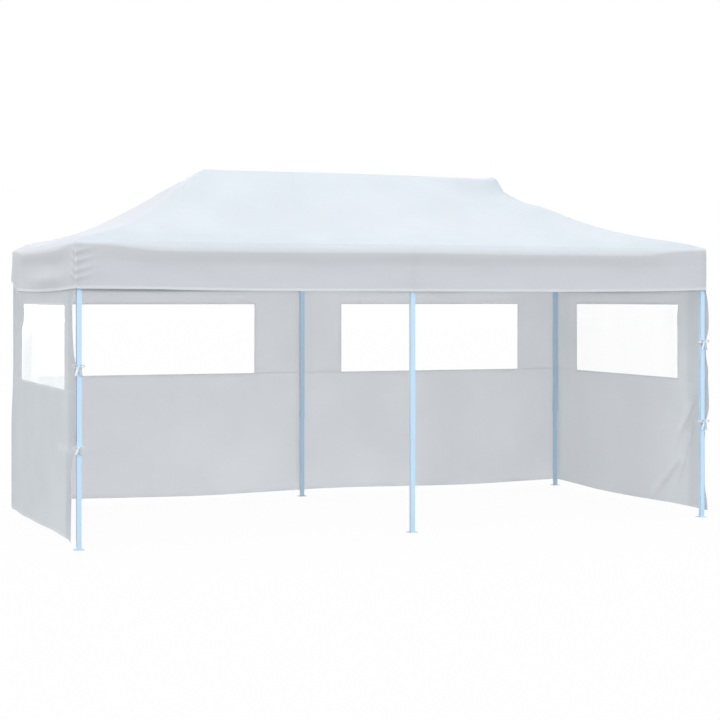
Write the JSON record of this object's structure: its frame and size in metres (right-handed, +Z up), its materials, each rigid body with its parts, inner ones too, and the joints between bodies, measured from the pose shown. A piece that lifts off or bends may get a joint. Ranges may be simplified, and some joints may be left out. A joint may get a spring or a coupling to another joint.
{
  "type": "pop up gazebo",
  "caption": "Folding gazebo with a scissor frame on telescopic legs, a hipped canopy with a deep valance, and hanging walls with clear windows.",
  "frame": {"origin": "on the ground under the middle of the frame", "axes": "+X along the ridge, +Y from the open long side to the back, +Z up"},
  "size_m": [5.8676, 2.9568, 3.165],
  "materials": {
    "frame_steel": "satin",
    "bar_steel": "satin",
    "moulded_plastic": "matte",
    "canopy_cloth": "matte",
    "wall_cloth": "matte",
    "window_film": "gloss"
  },
  "bodies": {
    "back_middle_leg": {"back_middle_leg": "frame_steel", "canopy": "canopy_cloth", "back_left_wall": "wall_cloth", "back_right_wall": "wall_cloth", "windows": "window_film"},
    "front_left_leg": {"front_left_leg": "frame_steel"},
    "front_middle_leg": {"front_middle_leg": "frame_steel"},
    "front_right_leg": {"front_right_leg": "frame_steel"},
    "back_left_leg": {"back_left_leg": "frame_steel", "left_wall": "wall_cloth"},
    "back_right_leg": {"back_right_leg": "frame_steel", "right_wall": "wall_cloth"},
    "front_left_inner_leg": {"front_left_inner_leg": "frame_steel"},
    "front_left_slider": {"front_left_slider": "moulded_plastic"},
    "front_middle_inner_leg": {"front_middle_inner_leg": "frame_steel"},
    "front_middle_slider": {"front_middle_slider": "moulded_plastic"},
    "front_right_inner_leg": {"front_right_inner_leg": "frame_steel"},
    "front_right_slider": {"front_right_slider": "moulded_plastic"},
    "back_left_inner_leg": {"back_left_inner_leg": "frame_steel"},
    "back_left_slider": {"back_left_slider": "moulded_plastic"},
    "back_middle_inner_leg": {"back_middle_inner_leg": "frame_steel"},
    "back_middle_slider": {"back_middle_slider": "moulded_plastic"},
    "back_right_inner_leg": {"back_right_inner_leg": "frame_steel"},
    "back_right_slider": {"back_right_slider": "moulded_plastic"},
    "back_left_bay_near_high_bar": {"back_left_bay_near_high_bar": "bar_steel"},
    "back_left_bay_near_low_bar": {"back_left_bay_near_low_bar": "bar_steel"},
    "back_left_bay_far_high_bar": {"back_left_bay_far_high_bar": "bar_steel"},
    "back_left_bay_far_low_bar": {"back_left_bay_far_low_bar": "bar_steel"},
    "back_left_bay_connector": {"back_left_bay_connector": "moulded_plastic"},
    "back_right_bay_near_high_bar": {"back_right_bay_near_high_bar": "bar_steel"},
    "back_right_bay_near_low_bar": {"back_right_bay_near_low_bar": "bar_steel"},
    "back_right_bay_far_high_bar": {"back_right_bay_far_high_bar": "bar_steel"},
    "back_right_bay_far_low_bar": {"back_right_bay_far_low_bar": "bar_steel"},
    "back_right_bay_connector": {"back_right_bay_connector": "moulded_plastic"},
    "left_bay_near_high_bar": {"left_bay_near_high_bar": "bar_steel"},
    "left_bay_near_low_bar": {"left_bay_near_low_bar": "bar_steel"},
    "left_bay_far_high_bar": {"left_bay_far_high_bar": "bar_steel"},
    "left_bay_far_low_bar": {"left_bay_far_low_bar": "bar_steel"},
    "right_bay_near_high_bar": {"right_bay_near_high_bar": "bar_steel"},
    "right_bay_near_low_bar": {"right_bay_near_low_bar": "bar_steel"},
    "right_bay_far_high_bar": {"right_bay_far_high_bar": "bar_steel"},
    "right_bay_far_low_bar": {"right_bay_far_low_bar": "bar_steel"},
    "front_left_bay_near_high_bar": {"front_left_bay_near_high_bar": "bar_steel"},
    "front_left_bay_near_low_bar": {"front_left_bay_near_low_bar": "bar_steel"},
    "front_left_bay_far_high_bar": {"front_left_bay_far_high_bar": "bar_steel"},
    "front_left_bay_far_low_bar": {"front_left_bay_far_low_bar": "bar_steel"},
    "front_left_bay_connector": {"front_left_bay_connector": "moulded_plastic"},
    "front_right_bay_near_high_bar": {"front_right_bay_near_high_bar": "bar_steel"},
    "front_right_bay_near_low_bar": {"front_right_bay_near_low_bar": "bar_steel"},
    "front_right_bay_far_high_bar": {"front_right_bay_far_high_bar": "bar_steel"},
    "front_right_bay_far_low_bar": {"front_right_bay_far_low_bar": "bar_steel"},
    "front_right_bay_connector": {"front_right_bay_connector": "moulded_plastic"},
    "left_peak_back_arm": {"left_peak_back_arm": "bar_steel"},
    "left_peak_post": {"left_peak_post": "frame_steel", "left_peak_cap": "moulded_plastic"},
    "left_peak_front_arm": {"left_peak_front_arm": "bar_steel"},
    "right_peak_back_arm": {"right_peak_back_arm": "bar_steel"},
    "right_peak_post": {"right_peak_post": "frame_steel", "right_peak_cap": "moulded_plastic"},
    "right_peak_front_arm": {"right_peak_front_arm": "bar_steel"}
  },
  "joints": [
    {"name": "frame_fold", "type": "hinge", "parent": "back_middle_leg", "child": "back_left_bay_near_high_bar", "pos_m": [-0.04, 1.435, 2.4017], "axis": [0, -1, 0], "range_deg": [0, 73], "deforming": ["left_wall", "right_wall", "back_left_wall", "back_right_wall", "windows", "canopy"]},
    {"name": "back_left_bay_near_low_bar_cross", "type": "hinge", "parent": "back_left_bay_near_high_bar", "child": "back_left_bay_near_low_bar", "pos_m": [-0.7375, 1.435, 2.2667], "axis": [0, 1, 0], "range_deg": [0, 146]},
    {"name": "back_middle_slider_pivot", "type": "hinge", "parent": "back_left_bay_near_low_bar", "child": "back_middle_slider", "pos_m": [-0.04, 1.435, 2.1317], "axis": [0, -1, 0], "range_deg": [0, 73]},
    {"name": "back_left_bay_far_high_bar_pivot", "type": "hinge", "parent": "back_left_bay_near_high_bar", "child": "back_left_bay_far_high_bar", "pos_m": [-1.435, 1.435, 2.1317], "axis": [0, 1, 0], "range_deg": [0, 146]},
    {"name": "back_left_bay_far_low_bar_cross", "type": "hinge", "parent": "back_left_bay_far_high_bar", "child": "back_left_bay_far_low_bar", "pos_m": [-2.1325, 1.435, 2.2667], "axis": [0, -1, 0], "range_deg": [0, 146]},
    {"name": "back_left_bay_connector_pivot", "type": "hinge", "parent": "back_left_bay_near_high_bar", "child": "back_left_bay_connector", "pos_m": [-1.435, 1.435, 2.1317], "axis": [0, 1, 0], "range_deg": [0, 73]},
    {"name": "back_left_leg_pivot", "type": "hinge", "parent": "back_left_bay_far_high_bar", "child": "back_left_leg", "pos_m": [-2.83, 1.435, 2.4017], "axis": [0, -1, 0], "range_deg": [0, 73]},
    {"name": "back_left_slider_pivot", "type": "hinge", "parent": "back_left_bay_far_low_bar", "child": "back_left_slider", "pos_m": [-2.83, 1.435, 2.1317], "axis": [0, 1, 0], "range_deg": [0, 73]},
    {"name": "back_right_bay_near_high_bar_pivot", "type": "hinge", "parent": "back_middle_leg", "child": "back_right_bay_near_high_bar", "pos_m": [0.04, 1.435, 2.4017], "axis": [0, 1, 0], "range_deg": [0, 73]},
    {"name": "back_right_bay_near_low_bar_cross", "type": "hinge", "parent": "back_right_bay_near_high_bar", "child": "back_right_bay_near_low_bar", "pos_m": [0.7375, 1.435, 2.2667], "axis": [0, -1, 0], "range_deg": [0, 146]},
    {"name": "back_right_bay_far_high_bar_pivot", "type": "hinge", "parent": "back_right_bay_near_high_bar", "child": "back_right_bay_far_high_bar", "pos_m": [1.435, 1.435, 2.1317], "axis": [0, -1, 0], "range_deg": [0, 146]},
    {"name": "back_right_bay_far_low_bar_cross", "type": "hinge", "parent": "back_right_bay_far_high_bar", "child": "back_right_bay_far_low_bar", "pos_m": [2.1325, 1.435, 2.2667], "axis": [0, 1, 0], "range_deg": [0, 146]},
    {"name": "back_right_bay_connector_pivot", "type": "hinge", "parent": "back_right_bay_near_high_bar", "child": "back_right_bay_connector", "pos_m": [1.435, 1.435, 2.1317], "axis": [0, -1, 0], "range_deg": [0, 73]},
    {"name": "back_right_leg_pivot", "type": "hinge", "parent": "back_right_bay_far_high_bar", "child": "back_right_leg", "pos_m": [2.83, 1.435, 2.4017], "axis": [0, 1, 0], "range_deg": [0, 73]},
    {"name": "back_right_slider_pivot", "type": "hinge", "parent": "back_right_bay_far_low_bar", "child": "back_right_slider", "pos_m": [2.83, 1.435, 2.1317], "axis": [0, -1, 0], "range_deg": [0, 73]},
    {"name": "left_bay_near_high_bar_pivot", "type": "hinge", "parent": "back_left_leg", "child": "left_bay_near_high_bar", "pos_m": [-2.87, 1.395, 2.4017], "axis": [1, 0, 0], "range_deg": [0, 73]},
    {"name": "left_bay_near_low_bar_cross", "type": "hinge", "parent": "left_bay_near_high_bar", "child": "left_bay_near_low_bar", "pos_m": [-2.87, 0.6975, 2.2667], "axis": [-1, 0, 0], "range_deg": [0, 146]},
    {"name": "left_bay_far_high_bar_pivot", "type": "hinge", "parent": "left_bay_near_high_bar", "child": "left_bay_far_high_bar", "pos_m": [-2.87, 0, 2.1317], "axis": [-1, 0, 0], "range_deg": [0, 146]},
    {"name": "left_bay_far_low_bar_cross", "type": "hinge", "parent": "left_bay_far_high_bar", "child": "left_bay_far_low_bar", "pos_m": [-2.87, -0.6975, 2.2667], "axis": [1, 0, 0], "range_deg": [0, 146]},
    {"name": "front_left_leg_pivot", "type": "hinge", "parent": "left_bay_far_high_bar", "child": "front_left_leg", "pos_m": [-2.87, -1.395, 2.4017], "axis": [1, 0, 0], "range_deg": [0, 73]},
    {"name": "front_left_slider_pivot", "type": "hinge", "parent": "left_bay_far_low_bar", "child": "front_left_slider", "pos_m": [-2.87, -1.395, 2.1317], "axis": [-1, 0, 0], "range_deg": [0, 73]},
    {"name": "right_bay_near_high_bar_pivot", "type": "hinge", "parent": "back_right_leg", "child": "right_bay_near_high_bar", "pos_m": [2.87, 1.395, 2.4017], "axis": [1, 0, 0], "range_deg": [0, 73]},
    {"name": "right_bay_near_low_bar_cross", "type": "hinge", "parent": "right_bay_near_high_bar", "child": "right_bay_near_low_bar", "pos_m": [2.87, 0.6975, 2.2667], "axis": [-1, 0, 0], "range_deg": [0, 146]},
    {"name": "right_bay_far_high_bar_pivot", "type": "hinge", "parent": "right_bay_near_high_bar", "child": "right_bay_far_high_bar", "pos_m": [2.87, 0, 2.1317], "axis": [-1, 0, 0], "range_deg": [0, 146]},
    {"name": "right_bay_far_low_bar_cross", "type": "hinge", "parent": "right_bay_far_high_bar", "child": "right_bay_far_low_bar", "pos_m": [2.87, -0.6975, 2.2667], "axis": [1, 0, 0], "range_deg": [0, 146]},
    {"name": "front_right_leg_pivot", "type": "hinge", "parent": "right_bay_far_high_bar", "child": "front_right_leg", "pos_m": [2.87, -1.395, 2.4017], "axis": [1, 0, 0], "range_deg": [0, 73]},
    {"name": "front_right_slider_pivot", "type": "hinge", "parent": "right_bay_far_low_bar", "child": "front_right_slider", "pos_m": [2.87, -1.395, 2.1317], "axis": [-1, 0, 0], "range_deg": [0, 73]},
    {"name": "front_left_bay_near_high_bar_pivot", "type": "hinge", "parent": "front_left_leg", "child": "front_left_bay_near_high_bar", "pos_m": [-2.83, -1.435, 2.4017], "axis": [0, 1, 0], "range_deg": [0, 73]},
    {"name": "front_left_bay_near_low_bar_cross", "type": "hinge", "parent": "front_left_bay_near_high_bar", "child": "front_left_bay_near_low_bar", "pos_m": [-2.1325, -1.435, 2.2667], "axis": [0, -1, 0], "range_deg": [0, 146]},
    {"name": "front_left_bay_far_high_bar_pivot", "type": "hinge", "parent": "front_left_bay_near_high_bar", "child": "front_left_bay_far_high_bar", "pos_m": [-1.435, -1.435, 2.1317], "axis": [0, -1, 0], "range_deg": [0, 146]},
    {"name": "front_left_bay_far_low_bar_cross", "type": "hinge", "parent": "front_left_bay_far_high_bar", "child": "front_left_bay_far_low_bar", "pos_m": [-0.7375, -1.435, 2.2667], "axis": [0, 1, 0], "range_deg": [0, 146]},
    {"name": "front_left_bay_connector_pivot", "type": "hinge", "parent": "front_left_bay_near_high_bar", "child": "front_left_bay_connector", "pos_m": [-1.435, -1.435, 2.1317], "axis": [0, -1, 0], "range_deg": [0, 73]},
    {"name": "front_middle_leg_pivot", "type": "hinge", "parent": "front_left_bay_far_high_bar", "child": "front_middle_leg", "pos_m": [-0.04, -1.435, 2.4017], "axis": [0, 1, 0], "range_deg": [0, 73]},
    {"name": "front_middle_slider_pivot", "type": "hinge", "parent": "front_left_bay_far_low_bar", "child": "front_middle_slider", "pos_m": [-0.04, -1.435, 2.1317], "axis": [0, -1, 0], "range_deg": [0, 73]},
    {"name": "front_right_bay_near_high_bar_pivot", "type": "hinge", "parent": "front_right_leg", "child": "front_right_bay_near_high_bar", "pos_m": [2.83, -1.435, 2.4017], "axis": [0, -1, 0], "range_deg": [0, 73]},
    {"name": "front_right_bay_near_low_bar_cross", "type": "hinge", "parent": "front_right_bay_near_high_bar", "child": "front_right_bay_near_low_bar", "pos_m": [2.1325, -1.435, 2.2667], "axis": [0, 1, 0], "range_deg": [0, 146]},
    {"name": "front_right_bay_far_high_bar_pivot", "type": "hinge", "parent": "front_right_bay_near_high_bar", "child": "front_right_bay_far_high_bar", "pos_m": [1.435, -1.435, 2.1317], "axis": [0, 1, 0], "range_deg": [0, 146]},
    {"name": "front_right_bay_far_low_bar_cross", "type": "hinge", "parent": "front_right_bay_far_high_bar", "child": "front_right_bay_far_low_bar", "pos_m": [0.7375, -1.435, 2.2667], "axis": [0, -1, 0], "range_deg": [0, 146]},
    {"name": "front_right_bay_connector_pivot", "type": "hinge", "parent": "front_right_bay_near_high_bar", "child": "front_right_bay_connector", "pos_m": [1.435, -1.435, 2.1317], "axis": [0, 1, 0], "range_deg": [0, 73]},
    {"name": "left_peak_back_arm_pivot", "type": "hinge", "parent": "back_left_bay_connector", "child": "left_peak_back_arm", "pos_m": [-1.435, 1.395, 2.1317], "axis": [-1, 0, 0], "range_deg": [0, 73]},
    {"name": "left_peak_post_hub", "type": "hinge", "parent": "left_peak_back_arm", "child": "left_peak_post", "pos_m": [-1.435, 0, 2.4017], "axis": [1, 0, 0], "range_deg": [0, 73]},
    {"name": "left_peak_front_arm_hub", "type": "hinge", "parent": "left_peak_post", "child": "left_peak_front_arm", "pos_m": [-1.435, 0, 2.4017], "axis": [1, 0, 0], "range_deg": [0, 73]},
    {"name": "right_peak_back_arm_pivot", "type": "hinge", "parent": "back_right_bay_connector", "child": "right_peak_back_arm", "pos_m": [1.435, 1.395, 2.1317], "axis": [-1, 0, 0], "range_deg": [0, 73]},
    {"name": "right_peak_post_hub", "type": "hinge", "parent": "right_peak_back_arm", "child": "right_peak_post", "pos_m": [1.435, 0, 2.4017], "axis": [1, 0, 0], "range_deg": [0, 73]},
    {"name": "right_peak_front_arm_hub", "type": "hinge", "parent": "right_peak_post", "child": "right_peak_front_arm", "pos_m": [1.435, 0, 2.4017], "axis": [1, 0, 0], "range_deg": [0, 73]},
    {"name": "front_left_leg_slide", "type": "slide", "parent": "front_left_leg", "child": "front_left_inner_leg", "axis": [0, 0, 1], "range_m": [0, 0.74]},
    {"name": "front_middle_leg_slide", "type": "slide", "parent": "front_middle_leg", "child": "front_middle_inner_leg", "axis": [0, 0, 1], "range_m": [0, 0.74]},
    {"name": "front_right_leg_slide", "type": "slide", "parent": "front_right_leg", "child": "front_right_inner_leg", "axis": [0, 0, 1], "range_m": [0, 0.74]},
    {"name": "back_left_leg_slide", "type": "slide", "parent": "back_left_leg", "child": "back_left_inner_leg", "axis": [0, 0, 1], "range_m": [0, 0.74]},
    {"name": "back_middle_leg_slide", "type": "slide", "parent": "back_middle_leg", "child": "back_middle_inner_leg", "axis": [0, 0, 1], "range_m": [0, 0.74]},
    {"name": "back_right_leg_slide", "type": "slide", "parent": "back_right_leg", "child": "back_right_inner_leg", "axis": [0, 0, 1], "range_m": [0, 0.74]}
  ],
  "couplings": [
    {"joint": "back_left_bay_near_low_bar_cross", "follows": "frame_fold", "ratio": 2},
    {"joint": "back_middle_slider_pivot", "follows": "frame_fold", "ratio": 1},
    {"joint": "back_left_bay_far_high_bar_pivot", "follows": "frame_fold", "ratio": 2},
    {"joint": "back_left_bay_far_low_bar_cross", "follows": "frame_fold", "ratio": 2},
    {"joint": "back_left_bay_connector_pivot", "follows": "frame_fold", "ratio": 1},
    {"joint": "back_left_leg_pivot", "follows": "frame_fold", "ratio": 1},
    {"joint": "back_left_slider_pivot", "follows": "frame_fold", "ratio": 1},
    {"joint": "back_right_bay_near_high_bar_pivot", "follows": "frame_fold", "ratio": 1},
    {"joint": "back_right_bay_near_low_bar_cross", "follows": "frame_fold", "ratio": 2},
    {"joint": "back_right_bay_far_high_bar_pivot", "follows": "frame_fold", "ratio": 2},
    {"joint": "back_right_bay_far_low_bar_cross", "follows": "frame_fold", "ratio": 2},
    {"joint": "back_right_bay_connector_pivot", "follows": "frame_fold", "ratio": 1},
    {"joint": "back_right_leg_pivot", "follows": "frame_fold", "ratio": 1},
    {"joint": "back_right_slider_pivot", "follows": "frame_fold", "ratio": 1},
    {"joint": "left_bay_near_high_bar_pivot", "follows": "frame_fold", "ratio": 1},
    {"joint": "left_bay_near_low_bar_cross", "follows": "frame_fold", "ratio": 2},
    {"joint": "left_bay_far_high_bar_pivot", "follows": "frame_fold", "ratio": 2},
    {"joint": "left_bay_far_low_bar_cross", "follows": "frame_fold", "ratio": 2},
    {"joint": "front_left_leg_pivot", "follows": "frame_fold", "ratio": 1},
    {"joint": "front_left_slider_pivot", "follows": "frame_fold", "ratio": 1},
    {"joint": "right_bay_near_high_bar_pivot", "follows": "frame_fold", "ratio": 1},
    {"joint": "right_bay_near_low_bar_cross", "follows": "frame_fold", "ratio": 2},
    {"joint": "right_bay_far_high_bar_pivot", "follows": "frame_fold", "ratio": 2},
    {"joint": "right_bay_far_low_bar_cross", "follows": "frame_fold", "ratio": 2},
    {"joint": "front_right_leg_pivot", "follows": "frame_fold", "ratio": 1},
    {"joint": "front_right_slider_pivot", "follows": "frame_fold", "ratio": 1},
    {"joint": "front_left_bay_near_high_bar_pivot", "follows": "frame_fold", "ratio": 1},
    {"joint": "front_left_bay_near_low_bar_cross", "follows": "frame_fold", "ratio": 2},
    {"joint": "front_left_bay_far_high_bar_pivot", "follows": "frame_fold", "ratio": 2},
    {"joint": "front_left_bay_far_low_bar_cross", "follows": "frame_fold", "ratio": 2},
    {"joint": "front_left_bay_connector_pivot", "follows": "frame_fold", "ratio": 1},
    {"joint": "front_middle_leg_pivot", "follows": "frame_fold", "ratio": 1},
    {"joint": "front_middle_slider_pivot", "follows": "frame_fold", "ratio": 1},
    {"joint": "front_right_bay_near_high_bar_pivot", "follows": "frame_fold", "ratio": 1},
    {"joint": "front_right_bay_near_low_bar_cross", "follows": "frame_fold", "ratio": 2},
    {"joint": "front_right_bay_far_high_bar_pivot", "follows": "frame_fold", "ratio": 2},
    {"joint": "front_right_bay_far_low_bar_cross", "follows": "frame_fold", "ratio": 2},
    {"joint": "front_right_bay_connector_pivot", "follows": "frame_fold", "ratio": 1},
    {"joint": "left_peak_back_arm_pivot", "follows": "frame_fold", "ratio": 1},
    {"joint": "left_peak_post_hub", "follows": "frame_fold", "ratio": 1},
    {"joint": "left_peak_front_arm_hub", "follows": "frame_fold", "ratio": 1},
    {"joint": "right_peak_back_arm_pivot", "follows": "frame_fold", "ratio": 1},
    {"joint": "right_peak_post_hub", "follows": "frame_fold", "ratio": 1},
    {"joint": "right_peak_front_arm_hub", "follows": "frame_fold", "ratio": 1}
  ]
}
